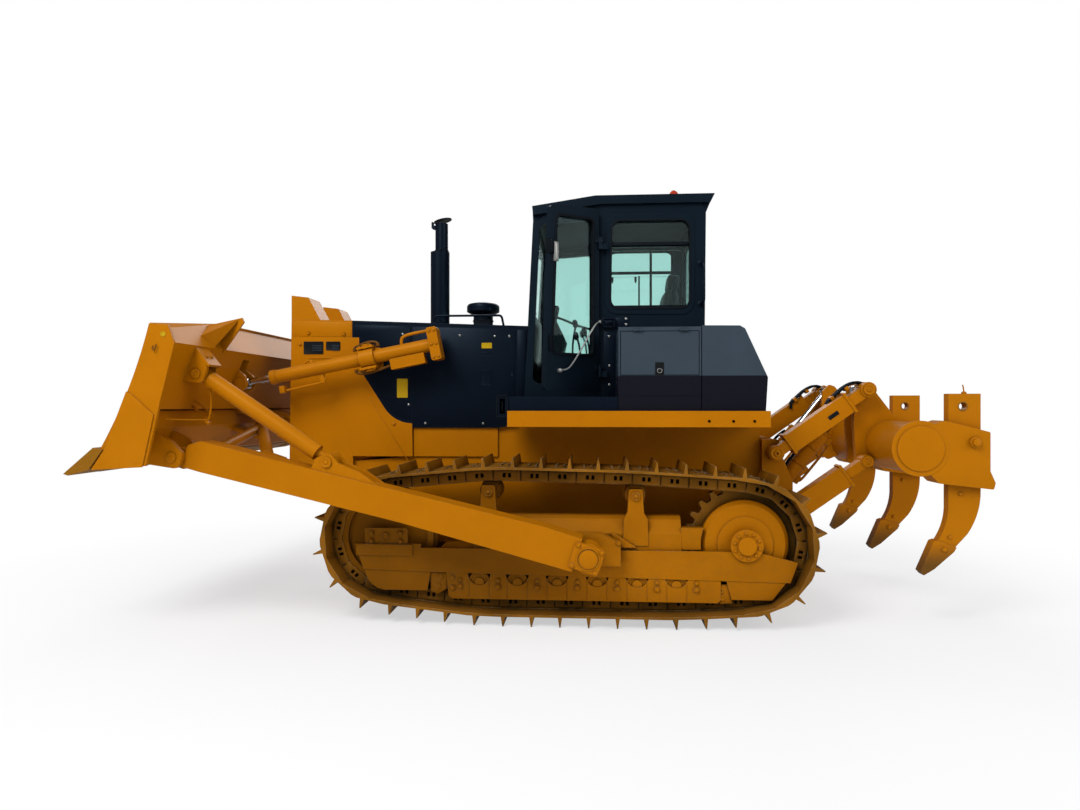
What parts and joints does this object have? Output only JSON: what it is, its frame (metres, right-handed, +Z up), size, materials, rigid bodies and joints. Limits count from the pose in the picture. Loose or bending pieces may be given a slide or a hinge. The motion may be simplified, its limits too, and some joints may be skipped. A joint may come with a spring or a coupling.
{
  "type": "crawler bulldozer",
  "caption": "Crawler bulldozer with straight blade on push arms, lift cylinders, enclosed cab with doors, and a parallelogram ripper with three shanks.",
  "frame": {"origin": "on the ground, below the middle of the overall length and width", "axes": "+X forward towards the blade, +Y the machine's left, +Z up"},
  "size_m": [6.6856, 3.736, 3.571],
  "materials": {
    "yellow": "satin orange-yellow paint",
    "dark": "satin blue-black paint",
    "grey": "satin slate grey paint",
    "glass": "lightly tinted",
    "chrome": "polished",
    "track_steel": "worn paint over steel",
    "edge_steel": "painted, worn at the edge",
    "engine_iron": "rough",
    "interior": "matt",
    "beacon": "gloss"
  },
  "bodies": {
    "chassis": {"main_frame": "yellow", "engine_block": "engine_iron", "radiator_guard": "yellow", "radiator_grille": "dark", "hood": "dark", "engine_panels": "dark", "exhaust_stack": "dark", "pre_cleaner": "dark", "headlamps": "yellow", "track_left": "track_steel", "track_right": "track_steel", "track_frames": "yellow", "sprockets": "track_steel", "idlers": "yellow", "rollers": "yellow", "final_drives": "yellow", "fenders": "yellow", "door_sills": "dark", "fuel_tank": "grey", "side_boxes": "grey", "cab_body": "dark", "cab_roof": "dark", "cab_glass": "glass", "operator_station": "interior", "beacon": "beacon", "lift_brackets": "yellow", "ripper_mount": "yellow"},
    "blade_group": {"blade": "yellow", "cutting_edge": "edge_steel", "push_arms": "yellow", "tilt_struts": "yellow", "arm_braces": "yellow"},
    "lift_barrels": {"lift_barrels": "yellow"},
    "lift_rods": {"lift_rods": "chrome"},
    "ripper_arms": {"ripper_arms": "yellow"},
    "ripper_links": {"ripper_links": "yellow"},
    "ripper_tool": {"ripper_beam": "yellow", "ripper_shanks": "yellow"},
    "ripper_barrels": {"ripper_barrels": "yellow"},
    "ripper_rods": {"ripper_rods": "chrome"},
    "door_left": {"door_left": "dark", "door_left_glass": "glass"},
    "door_right": {"door_right": "dark", "door_right_glass": "glass"},
    "box_door": {"box_door": "grey"},
    "rain_cap": {"rain_cap": "dark"}
  },
  "joints": [
    {"name": "blade_lift", "type": "hinge", "parent": "chassis", "child": "blade_group", "pos_m": [-0.3415, 0, 0.578], "axis": [0, -1, 0], "range_deg": [-26.8, 0.35]},
    {"name": "lift_swing", "type": "hinge", "parent": "chassis", "child": "lift_barrels", "pos_m": [1.5075, 0, 2.065], "axis": [0, -1, 0], "range_deg": [-43, 1]},
    {"name": "lift_extend", "type": "slide", "parent": "lift_barrels", "child": "lift_rods", "axis": [0.981, 0, -0.1939], "range_m": [-0.02, 0.98]},
    {"name": "ripper_lift", "type": "hinge", "parent": "chassis", "child": "ripper_arms", "pos_m": [-1.8555, 0, 0.698], "axis": [0, 1, 0], "range_deg": [-72.7, 14.2]},
    {"name": "ripper_link_swing", "type": "hinge", "parent": "chassis", "child": "ripper_links", "pos_m": [-1.8645, 0, 1.277], "axis": [0, 1, 0], "range_deg": [-73, 14.5]},
    {"name": "ripper_level", "type": "hinge", "parent": "ripper_arms", "child": "ripper_tool", "pos_m": [-2.5825, 0, 1.215], "axis": [0, 1, 0], "range_deg": [-14.5, 73]},
    {"name": "ripper_cylinder_swing", "type": "hinge", "parent": "chassis", "child": "ripper_barrels", "pos_m": [-1.9455, 0, 0.98], "axis": [0, 1, 0], "range_deg": [-73, 14.5]},
    {"name": "ripper_extend", "type": "slide", "parent": "ripper_barrels", "child": "ripper_rods", "axis": [-0.6216, 0, 0.7833], "range_m": [-0.37, 0.08]},
    {"name": "left_door", "type": "hinge", "parent": "chassis", "child": "door_left", "pos_m": [-0.4335, 0.712, 2.5], "axis": [0, 0, 1], "range_deg": [-47, 45]},
    {"name": "right_door", "type": "hinge", "parent": "chassis", "child": "door_right", "pos_m": [-0.4335, -0.712, 2.5], "axis": [0, 0, -1], "range_deg": [0, 92]},
    {"name": "rain_flap", "type": "hinge", "parent": "chassis", "child": "rain_cap", "pos_m": [1.0925, 0.1, 3.339], "axis": [0, 1, 0], "range_deg": [-12, 60]},
    {"name": "box_lid", "type": "hinge", "parent": "chassis", "child": "box_door", "pos_m": [-0.8855, 1.162, 2.24], "axis": [1, 0, 0], "range_deg": [0, 95]}
  ],
  "couplings": [
    {"joint": "lift_swing", "follows": "blade_lift", "ratio": 1.58},
    {"joint": "lift_extend", "follows": "blade_lift", "m_per_rad": -2.06},
    {"joint": "ripper_link_swing", "follows": "ripper_lift", "ratio": 1},
    {"joint": "ripper_level", "follows": "ripper_lift", "ratio": -1},
    {"joint": "ripper_cylinder_swing", "follows": "ripper_lift", "ratio": 0.96},
    {"joint": "ripper_extend", "follows": "ripper_lift", "m_per_rad": 0.28}
  ]
}
